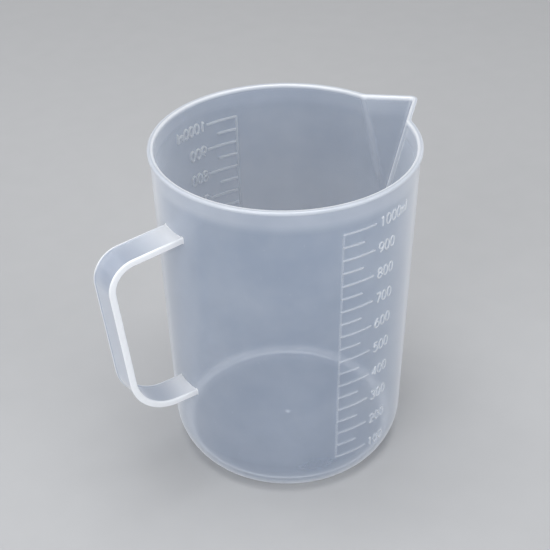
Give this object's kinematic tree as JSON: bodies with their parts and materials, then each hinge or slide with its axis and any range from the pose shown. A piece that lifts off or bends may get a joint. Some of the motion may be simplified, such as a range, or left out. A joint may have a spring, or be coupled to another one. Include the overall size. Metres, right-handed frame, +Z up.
{
  "type": "measuring jug",
  "caption": "Tall drafted measuring jug in translucent plastic with a beaded rim, a V-shaped pouring spout, a strap handle and a raised scale on each side.",
  "frame": {"origin": "on the cup's axis, in the plane that the jug stands on", "axes": "+X towards the tip of the pouring spout, -X towards the handle, +Z up along the cup's axis"},
  "size_m": [0.1544, 0.1096, 0.1429],
  "materials": {
    "clear_plastic": "natural translucent polypropylene, satin moulded surface",
    "milky_plastic": "the same polypropylene where it is thicker and looks milky white",
    "raised_marks": "raised scale lines in the wall's own plastic, whiter on their edges"
  },
  "bodies": {
    "root": {"base": "clear_plastic", "cup_wall": "clear_plastic", "pouring_spout": "clear_plastic", "rim_bead": "milky_plastic", "handle": "milky_plastic", "front_scale": "raised_marks", "rear_scale": "raised_marks"}
  },
  "joints": []
}
